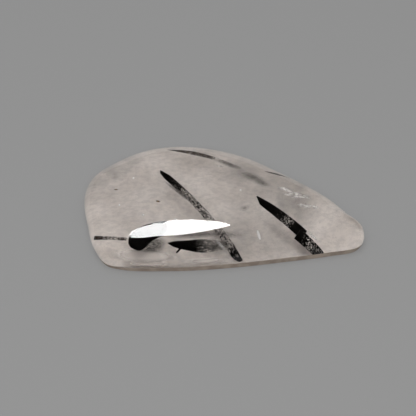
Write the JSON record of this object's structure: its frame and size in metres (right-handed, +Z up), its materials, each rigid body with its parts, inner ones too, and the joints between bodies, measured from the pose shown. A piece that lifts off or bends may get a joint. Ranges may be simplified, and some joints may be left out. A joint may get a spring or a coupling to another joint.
{
  "type": "tourmalinated quartz cabochon",
  "caption": "Free-form polished cabochon: a low clear quartz dome on a flat back, with black tourmaline needles, a stepped blade, a wedge and a cut stub grown through it.",
  "frame": {"origin": "on the flat back, under the middle of the stone's box", "axes": "+X along the stone towards its narrow end, +Y towards its back edge, +Z up through the dome"},
  "size_m": [0.0484, 0.0293, 0.0075],
  "materials": {
    "quartz": "polished",
    "tourmaline": "polished where the dome cuts it, striated inside"
  },
  "bodies": {
    "root": {"quartz": "quartz", "long_needle": "tourmaline", "stepped_blade": "tourmaline", "side_needle": "tourmaline", "cut_stub": "tourmaline", "dark_wedge": "tourmaline", "back_needle": "tourmaline", "rim_sliver": "tourmaline"}
  },
  "joints": []
}
